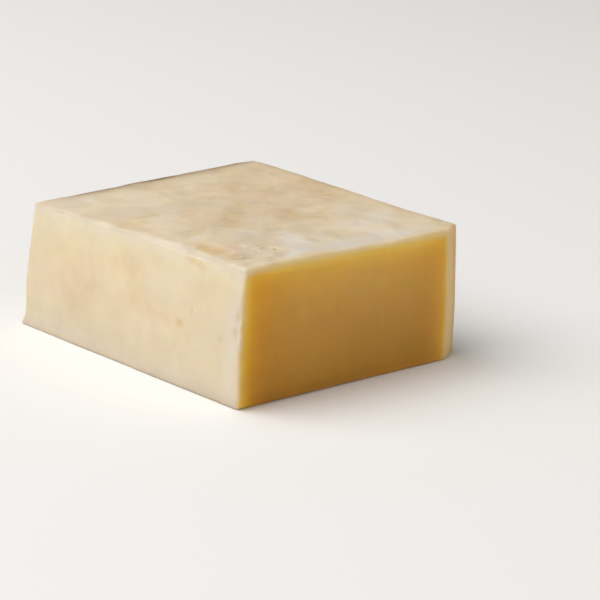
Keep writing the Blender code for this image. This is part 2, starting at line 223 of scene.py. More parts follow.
# Colour, the last number being its strength
TOP_COLOURS = {
    "amber": (
        oval(7.6, 26.0, 9.0, 4.6, 88, 0.66),
        oval(7.4, 18.0, 7.0, 4.6, 80, 0.40),
        oval(7.4, 13.0, 5.6, 4.4, 40, 0.12),
        oval(7.0, 37.0, 6.0, 3.4, 60, 0.30),
        oval(6.5, 65.0, 7.5, 4.8, 78, 0.56),
        oval(11.0, 68.0, 7.0, 3.6, 30, 0.28),
        oval(58.0, 45.0, 9.0, 5.0, 50, 0.30),
        oval(28.0, 63.0, 8.0, 5.0, 40, 0.20),
        oval(64.0, 81.0, 13.0, 4.6, 45, 0.18),
        oval(87.0, 64.0, 18.0, 8.0, 75, 0.24),
        oval(90.0, 80.0, 18.0, 6.0, 80, 0.18),
        oval(60.0, 54.0, 5.0, 3.4, 45, 0.32),
        oval(62.0, 23.0, 5.0, 3.4, 50, 0.22),
        oval(83.0, 31.0, 6.0, 4.0, 60, 0.16),
    ),
    "brown": (
        oval(9.0, 13.5, 6.0, 4.4, 40, 0.66),
        oval(16.5, 15.0, 7.0, 5.0, 40, 0.34),
        oval(10.0, 7.5, 4.4, 3.0, 20, 0.34),
        oval(19.0, 24.5, 5.0, 3.4, 50, 0.30),
        oval(8.5, 30.0, 4.0, 3.0, 60, 0.26),
        oval(33.0, 48.0, 12.0, 6.4, 55, 0.34),
        oval(41.0, 55.5, 12.0, 6.4, 50, 0.40),
        oval(46.0, 61.0, 9.0, 6.0, 45, 0.22),
        oval(55.0, 62.0, 8.0, 6.4, 30, 0.18),
        oval(56.0, 44.5, 11.0, 6.0, 55, 0.50),
        oval(62.0, 50.0, 9.0, 5.0, 40, 0.20),
        oval(65.0, 82.0, 14.0, 7.6, 45, 0.20),
        oval(68.0, 72.0, 12.0, 10.0, 60, 0.26),
        oval(68.0, 58.0, 22.0, 12.0, 45, 0.18),
        oval(60.0, 34.0, 13.0, 9.0, 70, 0.30),
        oval(68.0, 40.0, 12.0, 8.0, 45, 0.18),
        oval(21.0, 70.5, 10.0, 3.6, 14, 0.36),
        oval(16.0, 44.0, 6.0, 4.0, 20, 0.30),
        oval(27.0, 64.0, 12.0, 6.0, 40, 0.26),
        oval(43.0, 88.0, 14.0, 7.0, 60, 0.26),
        oval(86.0, 60.0, 26.0, 12.0, 75, 0.28),
        # Painted shade along the right edge, where the top rounds away
        oval(94.0, 60.0, 46.0, 4.0, 90, 0.40),
        oval(72.0, 78.0, 42.0, 32.0, 30, 0.16),
        oval(86.0, 97.0, 24.0, 14.0, 0, 0.24),
        oval(46.0, 50.0, 40.0, 24.0, 50, 0.20),
        oval(43.0, 101.0, 12.0, 6.0, 0, 0.40),
        oval(73.0, 58.0, 7.0, 3.6, 45, 0.22),
        oval(74.0, 76.0, 9.0, 5.0, 45, 0.20),
        oval(71.0, 80.0, 7.0, 4.4, 20, 0.26),
        oval(10.6, 63.5, 6.0, 3.2, 50, 0.50),
        oval(35.5, 21.0, 6.0, 3.2, 70, 0.44),
        oval(22.5, 7.0, 4.6, 3.0, 20, 0.56),
        oval(7.4, 28.4, 4.4, 3.0, 60, 0.44),
        oval(10.6, 40.4, 4.6, 3.2, 40, 0.40),
        oval(3.4, 41.0, 4.0, 3.0, 60, 0.26),
        oval(7.4, 11.2, 3.4, 2.2, -35, 0.44),
        oval(69.0, 51.0, 8.0, 4.0, 45, 0.30),
        oval(72.0, 104.0, 10.0, 4.0, 0, 0.30),
        oval(26.0, 87.0, 7.0, 4.0, 80, 0.20),
        oval(86.0, 58.0, 5.0, 4.6, 45, 0.20),
        # Painted shade along the right edge
        oval(92.0, 28.0, 11.0, 3.4, 90, 0.30),
    ),
    "shade": (
        oval(25.0, 28.0, 9.0, 4.4, 60, 0.42),
        oval(21.5, 19.5, 5.0, 3.2, 50, 0.44),
        oval(19.0, 7.0, 5.0, 3.2, 50, 0.40),
        oval(13.0, 5.0, 5.0, 3.4, 20, 0.44),
        oval(12.0, 13.0, 5.0, 3.4, 40, 0.20),
        oval(22.0, 43.0, 7.0, 5.0, 50, 0.36),
        oval(41.0, 15.5, 6.0, 3.2, 65, 0.44),
        oval(51.0, 18.0, 10.0, 3.4, 80, 0.40),
        oval(47.5, 29.0, 9.0, 5.4, 60, 0.44),
        oval(37.0, 31.0, 9.0, 5.0, 30, 0.24),
        oval(70.0, 30.0, 9.0, 5.0, 40, 0.26),
        oval(75.0, 15.0, 7.0, 4.4, 50, 0.36),
        oval(38.0, 75.0, 9.0, 4.4, 40, 0.20),
        oval(44.0, 84.0, 8.0, 6.0, 50, 0.24),
        oval(92.0, 12.0, 10.0, 3.4, 80, 0.34),
        oval(62.0, 101.0, 18.0, 5.0, 10, 0.24),
        oval(4.0, 5.5, 5.4, 3.4, 60, 0.40),
        oval(6.6, 11.0, 3.6, 2.4, 40, 0.40),
        oval(53.0, 28.0, 8.0, 3.2, 55, 0.34),
        oval(42.5, 13.0, 4.6, 3.6, 60, 0.30),
        oval(34.0, 38.0, 5.0, 3.4, 30, 0.28),
        oval(39.0, 33.0, 7.0, 4.0, 45, 0.26),
        oval(38.5, 70.0, 6.0, 3.4, 45, 0.32),
        oval(48.0, 72.0, 7.0, 4.0, 50, 0.26),
    ),
    "bloom": (
        oval(34.0, 14.0, 16.0, 8.0, 75, 0.66),
        oval(38.0, 24.0, 13.0, 8.0, 50, 0.38),
        oval(46.0, 7.0, 16.0, 10.0, 20, 0.74),
        oval(26.0, 6.0, 9.0, 5.4, 20, 0.56),
        oval(63.0, 7.0, 16.0, 9.0, 10, 0.62),
        oval(76.0, 8.0, 13.0, 8.0, 20, 0.34),
        oval(78.0, 24.0, 17.0, 9.0, 40, 0.54),
        oval(64.0, 22.0, 12.0, 8.0, 40, 0.48),
        oval(76.0, 38.0, 11.0, 6.0, 50, 0.36),
        oval(62.0, 55.0, 6.0, 4.0, 45, 0.30),
        oval(10.5, 37.5, 5.6, 4.4, 20, 0.56),
        oval(28.0, 33.0, 9.0, 6.0, 30, 0.26),
        oval(47.0, 44.0, 7.0, 5.0, 40, 0.30),
        oval(15.0, 77.0, 10.0, 7.0, 45, 0.26),
        oval(25.0, 73.0, 8.0, 5.0, 45, 0.24),
        oval(14.0, 94.0, 22.0, 13.0, 0, 0.16),
        oval(49.0, 20.0, 9.0, 4.4, 60, 0.30),
        oval(17.5, 21.5, 6.0, 2.6, 40, 0.34),
        oval(61.0, 27.0, 7.0, 4.0, 50, 0.22),
        oval(23.0, 38.0, 6.0, 3.6, 60, 0.26),
        oval(16.0, 60.0, 10.0, 6.0, 60, 0.16),
        oval(37.0, 98.0, 9.0, 5.0, 60, 0.20),
        oval(23.5, 3.6, 6.0, 2.6, 30, 0.50),
        oval(4.0, 37.0, 4.6, 2.6, 80, 0.30),
        oval(70.0, 5.0, 6.0, 4.0, 30, 0.26),
        oval(28.0, 68.0, 7.0, 4.0, 50, 0.28),
        oval(61.0, 46.0, 5.0, 3.6, 80, 0.30),
        oval(48.0, 6.0, 6.0, 5.0, 60, 0.40),
        oval(65.0, 12.0, 7.0, 4.0, 60, 0.16),
        oval(41.0, 46.0, 5.6, 4.0, 50, 0.24),
        oval(13.0, 18.0, 6.0, 3.0, 40, 0.22),
        oval(25.0, 30.0, 13.0, 5.0, 62, 0.20),
        oval(29.0, 11.0, 8.0, 4.0, 60, 0.28),
        oval(13.0, 80.0, 9.0, 7.0, 60, 0.26),
        oval(5.0, 80.0, 7.0, 5.0, 80, 0.30),
        oval(10.0, 101.0, 17.0, 7.0, 0, 0.34),
        oval(29.0, 28.0, 9.0, 3.4, 70, 0.28),
        oval(57.0, 64.0, 5.6, 4.0, 30, 0.30),
        oval(46.0, 64.0, 7.0, 4.0, 60, 0.20),
        oval(41.0, 82.0, 9.0, 4.4, 90, 0.22),
        oval(27.0, 85.0, 18.0, 12.0, 45, 0.14),
    ),
    # Painted shade along the far edge
    "far_edge": (
        oval(50.0, 107.0, 10.0, 4.0, 0, 0.46),
    ),
    "rosy": (
        oval(13.0, 22.0, 8.0, 5.4, 60, 0.56),
        oval(10.5, 35.0, 4.0, 3.6, 20, 0.30),
        oval(12.0, 79.0, 14.0, 8.0, 45, 0.20),
        oval(5.0, 56.5, 5.0, 3.6, 60, 0.30),
        oval(31.0, 46.5, 8.0, 5.0, 60, 0.44),
        oval(83.0, 56.0, 8.0, 5.0, 60, 0.34),
        oval(88.0, 93.0, 12.0, 7.0, 40, 0.24),
        oval(66.0, 72.0, 12.0, 9.0, 45, 0.14),
    ),
}
PALE_FACE_COLOURS = {
    "amber": (
        oval(24.0, 3.0, 7.0, 2.0, -4, 0.72),
        oval(29.0, 22.8, 3.4, 2.4, 0, 0.34),
        oval(52.0, 18.0, 8.0, 7.0, 90, 0.16),
        oval(72.0, 21.0, 8.0, 2.8, 0, 0.18),
        oval(41.0, 22.8, 9.0, 1.8, -10, 0.16),
        oval(42.0, 6.0, 10.0, 2.8, -8, 0.14),
        oval(93.0, 12.0, 9.0, 6.0, 0, 0.10),
        oval(0.0, 22.0, 26.0, 1.8, 90, 0.34),
    ),
    "brown": (
        # Both brown strips along the upright edges, at 0 and 108.6 mm, are painted shade
        oval(0.0, 22.0, 28.0, 4.0, 90, 0.22),
        oval(108.6, 22.0, 28.0, 3.4, 90, 0.30),
        oval(81.0, 24.0, 18.0, 12.0, 0, 0.09),
        oval(82.0, 29.0, 9.0, 8.0, 0, 0.08),
        oval(56.0, 10.0, 11.0, 6.0, 0, 0.08),
        oval(29.0, 22.9, 1.1, 0.9, 0, 0.26),
    ),
    "shade": (
        oval(60.0, 36.0, 24.0, 6.0, 0, 0.14),
        oval(88.0, 38.0, 11.0, 6.0, 0, 0.16),
        oval(31.0, 33.0, 10.0, 7.0, 0, 0.14),
        oval(23.2, 18.2, 1.4, 1.0, 0, 0.30),
        oval(9.0, 24.0, 2.2, 1.7, 0, 0.20),
        oval(2.6, 20.0, 3.2, 2.2, 90, 0.70),
        # Painted shade just below the crease at the near corner
        oval(7.0, 2.4, 7.0, 3.0, 0, 0.20),
    ),
    "bloom": (
        oval(100.0, 7.0, 16.0, 10.0, 0, 0.22),
        oval(37.0, 13.0, 18.0, 11.0, 0, 0.20),
        oval(13.0, 20.0, 14.0, 14.0, 0, 0.14),
        oval(2.6, 22.0, 30.0, 7.4, 90, 0.50),
        # The pale strip at the far upright edge is painted: it takes out the gold that light
        # shining through that edge gives
        oval(108.6, 18.0, 24.0, 4.0, 90, 0.46),
        oval(21.9, 17.4, 1.3, 1.0, 30, 0.50),
    ),
    "rosy": (
        oval(81.0, 24.0, 18.0, 12.0, 0, 0.18),
        oval(56.0, 10.0, 11.0, 6.0, 0, 0.20),
        oval(18.5, 10.5, 8.0, 5.0, 0, 0.24),
        oval(11.0, 7.5, 8.0, 4.0, 0, 0.14),
        oval(36.0, 24.0, 6.0, 3.2, 0, 0.26),
        oval(79.0, 13.0, 8.0, 4.0, 0, 0.16),
        oval(60.0, 24.0, 10.0, 6.0, 0, 0.10),
    ),
}
CUT_FACE_COLOURS = {
    "bloom": (
        oval(56.0, 20.5, 4.6, 1.8, 82, 0.05),
        oval(57.8, 25.5, 3.6, 1.9, 78, 0.06),
        oval(18.8, 11.2, 1.7, 0.8, 10, 0.08),
        oval(14.2, 20.5, 2.0, 0.8, 80, 0.10),
        oval(16.2, 29.0, 1.2, 0.9, 0, 0.07),
        oval(20.4, 33.6, 1.4, 0.9, 30, 0.10),
        oval(48.0, 10.0, 14.0, 9.0, 0, 0.07),
        oval(0.6, 15.0, 5.6, 1.7, 90, 0.34),
    ),
    "brown": (
        oval(38.5, 18.5, 4.0, 1.6, 90, 0.16),
        # The brown at 41 and 36 mm down and the long strip at 42.5 mm down are painted shade along
        # the foot
        oval(13.0, 41.0, 9.0, 4.4, 0, 0.30),
        oval(5.0, 36.0, 7.0, 8.0, 0, 0.18),
        oval(28.0, 4.0, 17.0, 5.0, 0, 0.08),
        oval(19.0, 16.0, 7.0, 7.0, 0, 0.10),
        oval(71.0, 35.0, 10.0, 4.4, -10, 0.14),
        oval(34.0, 42.5, 30.0, 3.4, 0, 0.20),
    ),
}

# How steep the flanks of relief and of colour are: 3 is a smooth step, and 1 is softer
RELIEF_FLANK = 3.0
COLOUR_FLANK = 1.4

# Borders of the finishes: where each starts, as a distance, and over what length it comes in
CUT_BORDER = (0.4 * MM, 1.1 * MM)
FRESH_BELOW_TOP = (-0.9 * MM, 3.6 * MM)
FRESH_BESIDE_PALE = (-0.6 * MM, 2.2 * MM)
FRESH_BESIDE_FACET = (-1.0 * MM, 2.6 * MM)
FRESH_ABOVE_FOOT = (-0.8 * MM, 1.2 * MM)
FACET_BORDER = (-0.4 * MM, 1.2 * MM)
FACET_DEPTH = (0.0, 1.0 * MM)
TOP_BORDER = (0.2 * MM, 0.8 * MM)
FACE_BORDER = (0.3 * MM, 1.0 * MM)
RIM_BORDER = (-0.4 * MM, 1.8 * MM)  # from the rim's width on
RIM_DOWN = (1.0 * MM, 4.0 * MM)
TOP_FRAY = 0.4  # share of the fray in the border below the top
RIM_FRAY = 1.2
# The fresh cheese starts lower down near the pale face, and is a little hazy at the facet
LATE_START = 1.3 * MM
LATE_REACH = 5.0 * MM
FACET_HAZE = 0.035
FACET_HAZE_REACH = 4.0 * MM

# The facet, as the sliced corner at the front right is called here
GLOW = 0.4  # share of fresh colour that shines through where the cut face ends
GLOW_REACH = 3.0 * MM
GLOW_BELOW_TOP = (0.5 * MM, 3.0 * MM)
FACET_ON_TOP = 0.5  # share of its tint that is lost on the top
FACET_BROWN = 0.45  # how brown it gets away from the cut face, partly painted shade, as the facet turns away from the lamps
FACET_BROWN_BORDER = (3.0 * MM, 4.0 * MM)

# The cut's golden band, painted light that shines through from the lit faces: its reach, and
# beside the facet its start and how it is drawn in
BAND_REACH = 24.0 * MM
FACET_BAND_START = 1.2 * MM
FACET_BAND_SQUEEZE = 1.3
DEEP_AT_TOP = 0.4  # share of the band's painted loss of blue at the top edge, and where it is full
DEEP_BELOW_TOP = (0.0, 9.0 * MM)
OLIVE = 0.20  # greenish tinge beside the facet
OLIVE_REACH = 5.0 * MM

RIM_ON_SIDE = 0.3  # how strong the rim's cream is below the top's edge
# Flake lips are paler: partly dried edges, partly a painted highlight
LIP_PALLOR_AND_HIGHLIGHT = 0.6
CREASE_REACH = (0.75 * MM, 1.1 * MM)  # of the painted shade along the crease at the rim: over the top, and down
CREASE_WORN = 0.12  # how much of it is lost where the rim is this much wider than its least
CREASE_WORN_AT = 1.5 * MM

# Painted shade along the top's far edges, where the top rounds away: reach, how suddenly it
# ends, and where it comes in
EDGE_SHADE_CURVE = 1.4
BACK_SHADE_REACH = 3.6 * MM
BACK_SHADE_BORDER = (0.0, 22.0 * MM)  # from the pale face
RIGHT_SHADE_REACH = 1.7 * MM
RIGHT_SHADE_BORDER = (44.0 * MM, 60.0 * MM)  # from the cut face
RIGHT_SHADE_LEAST, RIGHT_SHADE_RISE = 0.12, 0.5

TOP, BOTTOM = HEIGHT, 0.0
LEFT, RIGHT = -WIDTH / 2, WIDTH / 2
FRONT, BACK = -DEPTH / 2, DEPTH / 2

# ---------------------------------------------------------------- the view and the light

CAMERA_TURN = math.radians(42.195)  # round the chunk from its front, clockwise from above
CAMERA_PITCH = math.radians(16.611)
CAMERA_ROLL = math.radians(2.258)
CAMERA_PLACE = (19.25 * MM, -741.98 * MM, 235.79 * MM)  # before that turn
LENS, SENSOR = 139.85, 36.0  # mm
NEAREST_SEEN, FURTHEST_SEEN = 0.05, 20.0  # m

# The lights: directions from the chunk, then metres and watts
LIGHT_COLOUR = (1.0, 0.98, 0.95)
LIGHT_DISTANCE = 2.4
KEY_FROM = Vector((-0.48, 0.30, 0.82))
KEY_SIZE = 2.6
KEY_POWER = 67.0
FILL_FROM = Vector((-0.25, -0.90, 0.36))
FILL_SIZE = 2.2
FILL_POWER = 11.8
WORLD_STRENGTH = 0.21
CARD_REACH = 4.0  # m, from the card's middle to its edges


# ---------------------------------------------------------------- the shape

AT_FRONT, AT_BACK = -1, 1


def slice_corner(block, end, slice_size):
    """Cuts off the right-hand upright corner at one end, the front or the back."""
    along_x, along_y = slice_size
    corner_y = BACK if end == AT_BACK else FRONT
    cut = bmesh.ops.bisect_plane(
        block,
        geom=block.verts[:] + block.edges[:] + block.faces[:],
        plane_co=Vector((RIGHT - along_x, corner_y, 0.0)),
        plane_no=Vector((along_y, end * along_x, 0.0)).normalized(),
        clear_outer=True,
    )
    rim = [piece for piece in cut["geom_cut"] if isinstance(piece, bmesh.types.BMEdge)]
    bmesh.ops.edgeloop_fill(block, edges=rim)


def straight_block():
    """The box with its two sliced corners and rounded edges."""
    block = bmesh.new()
    stretched = Matrix.Diagonal((WIDTH, DEPTH, HEIGHT, 1.0))
    to_box = Matrix.Translation((0.0, 0.0, HEIGHT / 2)) @ stretched
    bmesh.ops.create_cube(block, size=1.0, matrix=to_box)
    slice_corner(block, AT_FRONT, FRONT_SLICE)
    slice_corner(block, AT_BACK, BACK_SLICE)
    bmesh.ops.recalc_face_normals(block, faces=block.faces[:])
    bmesh.ops.bevel(
        block,
        geom=block.edges[:],
        offset=EDGE_ROUND,
        offset_type="OFFSET",
        segments=EDGE_STEPS,
        profile=0.5,
        affect="EDGES",
        clamp_overlap=True,
        material=-1,
    )
    return block


def stations(low, high, fine_reach, fine_step, coarse_step, keep_clear=()):
    """Places of the cuts between two sides: close together at first, then further apart."""
    coarse_reach = high - low - fine_reach
    fine_count = round(fine_reach / fine_step)
    coarse_count = round(coarse_reach / coarse_step)
    places = [low + fine_reach * i / fine_count for i in range(fine_count)]
    places += [low + fine_reach + coarse_reach * i / coarse_count for i in range(coarse_count)]
    clear_of = (low, high, *keep_clear)
    return [p for p in places if min(abs(p - edge) for edge in clear_of) > CUT_CLEARANCE]


def divide(block, axis, places):
    """Cuts the faces, without parting them, where the axis has each of these places."""
    across = Vector([1.0 if i == axis else 0.0 for i in range(3)])
    for place in places:
        bmesh.ops.bisect_plane(
            block,
            geom=block.verts[:] + block.edges[:] + block.faces[:],
            dist=HAIR,
            plane_co=across * place,
            plane_no=across,
        )


def divide_faces(block):
    """Cuts all but the underside into small faces, the smallest at the flaky corner."""
    slices = (RIGHT - FRONT_SLICE[X], RIGHT - BACK_SLICE[X])
    divide(block, X, stations(LEFT, RIGHT, FINE_REACH, FINE_STEP, COARSE_STEP, slices))
    slices = (FRONT + FRONT_SLICE[Y], BACK - BACK_SLICE[Y])
    divide(block, Y, stations(FRONT, BACK, FINE_REACH, FINE_STEP, COARSE_STEP, slices))
    divide(block, Z, stations(BOTTOM, TOP, 0.0, FINE_STEP, LEVEL_STEP))
    underside = [face for face in block.faces if max(v.co.z for v in face.verts) < HAIR]
    bmesh.ops.dissolve_faces(block, faces=underside, use_verts=False)
    long_edges = [edge for edge in block.edges if edge.calc_length() > EDGE_ROUND]
    bmesh.ops.subdivide_edges(block, edges=long_edges, cuts=DIVIDE_EACH_BY - 1, use_grid_fill=True)
    flaky = [
        edge for edge in block.edges
        if all(in_flaky_part(vert.co) for vert in edge.verts)
    ]
    bmesh.ops.subdivide_edges(block, edges=flaky, cuts=1, use_grid_fill=True)


def in_flaky_part(place):
    reach_x, reach_y = FLAKY_REACH
    return place.x < LEFT + reach_x and place.y < FRONT + reach_y and place.z > TOP - HAIR


def across_corners(values, u, v):
    """Blends four corner values; u runs from left to right and v from front to back."""
    front = values[0] * (1 - u) + values[1] * u
    back = values[2] * (1 - u) + values[3] * u
    return front * (1 - v) + back * v


def soft_least(a, b, softness):
    """The smaller of two lengths, with the change from one to the other rounded."""
    blend = max(softness - abs(a - b), 0.0) / softness
    return min(a, b) - blend * blend * softness / 4


def wave(a, b, kind, layer):
    """A smooth random height over a face, the same on every run."""
    height, spacing = kind
    return height * noise.noise(Vector((a / spacing, b / spacing, layer)))


def mound(a, b, shape, flank):
    """A rounded oval on a face: its amount in the middle, and nought outside it."""
    from_side, from_edge, half_length, half_width, turn, amount = shape
    da, db = a - from_side, b - from_edge
    along = (da * math.cos(turn) + db * math.sin(turn)) / half_length
    across = (db * math.cos(turn) - da * math.sin(turn)) / half_width
    inside = 1.0 - along * along - across * across
    if inside <= 0.0:
        return 0.0
    return amount * inside * inside * (flank + (1 - flank) * inside)


def all_mounds(a, b, shapes, flank=RELIEF_FLANK):
    """What all of these ovals come to at one place of a face."""
    return sum(mound(a, b, shape, flank) for shape in shapes)


def warped(x, y, kind, layer):
    """A place on a face, pushed about a little, so that outlines come out irregular."""
    return x + wave(x, y, kind, layer), y + wave(x, y, kind, layer + TO_SECOND_PUSH)


def rim_width(y):
    """How far the worn cream rim reaches from the pale face over the top."""
    width = RIM_WIDTH
    for from_cut, reach, extra in RIM_SWELLS:
        inside = 1.0 - ((y - FRONT) / MM - from_cut) ** 2 / reach ** 2
        width += extra * MM * max(0.0, inside) ** 2
    return width


def flaking(x, y):
    """How far flakes lift a point of the top, its gap's painted shade, and its lip's pallor and
    painted highlight.
    """
    x, y = warped(x, y, FLAKE_FRAY, FLAKE_LAYER)
    rise, gap_shade, lip_highlight = 0.0, 0.0, 0.0
    for from_side, from_edge, half_length, turn, lift in FLAKES:
        da, db = x - LEFT - from_side, y - FRONT - from_edge
        along = (da * math.cos(turn) + db * math.sin(turn)) / half_length
        if abs(along) >= 1.0:
            continue
        across = db * math.cos(turn) - da * math.sin(turn) + FLAKE_BOW * half_length * along * along
        taper = 1.0 - along * along
        lip = 0.0
        if across < 0.0:
            lip = taper * math.exp(-((across + LIP_PLACE) / LIP_REACH) ** 2)
        gap = taper * smooth(1.0 - abs(across / GAP_WIDTH - GAP_PLACE))
        rise += lift * (LIP_RISE * lip - gap)
        strength = min(lift / DARK_LIFT, 1.0)
        gap_shade = max(gap_shade, gap * strength)
        lip_highlight = max(lip_highlight, lip * strength)
    return rise, gap_shade, lip_highlight


def plates(x, y):
    """Rise and tone of the thin irregular plates that the flaky corner is broken into."""
    warped_x, warped_y = warped(x, y, PLATE_WARP, PLATE_LAYER)
    place = Vector((warped_x / PLATE_SIZE[X], warped_y / PLATE_SIZE[Y], HALFWAY))
    (nearest, next_nearest, *_), middles = noise.voronoi(place)
    own = smooth(0.5 + (next_nearest - nearest) / (2 * PLATE_BLEND))
    rise, tone = 0.0, 0.0
    for middle, share in ((middles[0], own), (middles[1], 1.0 - own)):
        tilt = noise.cell_vector(middle * PLATE_SHUFFLE)
        rise += share * (PLATE_STEP * tilt.z + PLATE_TILT * ((place - middle).dot(tilt)))
        tone += share * (2.0 * noise.cell(middle * PLATE_SHUFFLE + tilt) - 1.0)
    return rise, tone


def top_relief(x, y):
    """How far the top stands above or below its plane."""
    warped_x, warped_y = warped(x, y, OUTLINE_WARP, OUTLINE_LAYER)
    height = wave(x, y, TOP_WAVE, WAVE_LAYER)
    height += wave(x, y, TOP_RIPPLE, RIPPLE_LAYER)
    height += wave(x, y, TOP_GRAIN, GRAIN_LAYER)
    height += MM * all_mounds(warped_x - LEFT, warped_y - FRONT, WORN_DIPS)
    flakiness = all_mounds(x - LEFT, y - FRONT, FLAKY_CORNER)
    if flakiness > 0.0:
        plate_rise, _ = plates(x, y)
        height += flakiness * plate_rise
    flake_rise, _, _ = flaking(x, y)
    height += flake_rise
    width = rim_width(y)
    worn = max(0.0, 1.0 - (x - LEFT) / (WORN_LEAST_REACH + WORN_REACH * width))
    return height - (RIM_FALL * width + RIM_LEAST_FALL) * worn * worn


def nearness(distance):
    """1 on a face, falling to 0 a little further in than the rounding of its edges."""
    return max(0.0, 1.0 - abs(distance) / FACE_REACH)


def worn_back(along, layer):
    """How far an edge is worn back at a place along it; never outwards."""
    height, spacing = NIBBLE
    place = Vector((along / spacing, layer, HALFWAY))
    return height * max(0.0, noise.noise(place) + NIBBLE_BIAS)


def uneven(point):
    """Moves a point of the straight block by the waves and the wear of the faces near it."""
    x, y, z = point
    on_left, on_right = nearness(x - LEFT), nearness(RIGHT - x)
    on_front, on_back = nearness(y - FRONT), nearness(BACK - y)
    on_top = nearness(TOP - z)
    move = Vector((0.0, 0.0, on_top * top_relief(x, y)))
    left_wave = on_left * wave(y, z, SIDE_WAVE, LEFT_LAYER)
    front_wave = on_front * wave(x, z, CUT_FACE_WAVE, FRONT_LAYER)
    move.x += on_right * wave(y, z, SIDE_WAVE, RIGHT_LAYER) - left_wave
    move.y += on_back * wave(x, z, SIDE_WAVE, BACK_LAYER) - front_wave
    move.x += (on_right - on_left) * wave(y, z, SIDE_GRAIN, GRAIN_LAYER_X)
    move.y += (on_back - on_front) * wave(x, z, SIDE_GRAIN, GRAIN_LAYER_Y)
    move.x -= on_left * MM * all_mounds(y - FRONT, TOP - z, PALE_FACE_PITS)
    move.y -= on_front * MM * all_mounds(x - LEFT, TOP - z, CUT_FACE_MARKS)
    move.x += on_right * MM * all_mounds(BACK - y, TOP - z, PALE_FACE_PITS)
    move.y += on_back * MM * all_mounds((x - LEFT) * DEPTH / WIDTH, TOP - z, PALE_FACE_PITS)
    for on_side, along, inward, layer in (
        (on_left, y, Vector((1.0, 0.0, -WEAR_DROP)), LEFT_LAYER),
        (on_right, y, Vector((-1.0, 0.0, -WEAR_DROP)), RIGHT_LAYER),
        (on_front, x, Vector((0.0, 1.0, -WEAR_DROP)), FRONT_LAYER),
        (on_back, x, Vector((0.0, -1.0, -WEAR_DROP)), BACK_LAYER),
    ):
        move += inward * (on_side * on_top * worn_back(along, layer + TO_WORN_EDGE))
    return point + move


def leaning(point):
    """Moves a point by the fall of the top and the lean of the sides towards the foot."""
    x, y, z = point
    u, v = (x - LEFT) / WIDTH, (y - FRONT) / DEPTH
    leaning_part = HEIGHT - LEAN_DONE_AT
    lean = soft_least(HEIGHT - z, leaning_part, LEAN_SOFTNESS) / leaning_part
    flare = max(0.0, 1.0 - z / FLARE_HEIGHT) ** FLARE_CURVE
    x += lean * across_corners(LEAN_X, u, v) + flare * across_corners(FLARE_X, u, v)
    y += lean * across_corners(LEAN_Y, u, v) + flare * across_corners(FLARE_Y, u, v)
    z *= 1.0 + across_corners(RISE, u, v) / HEIGHT
    return Vector((x, y, z))


def smooth(share):
    """A share from 0 to 1, eased in and out."""
    share = min(max(share, 0.0), 1.0)
    return share * share * (3 - 2 * share)


def fade_in(distance, start, length):
    """0 up to the start of a stretch, 1 past its end, and smooth between."""
    return smooth((distance - start) / length)


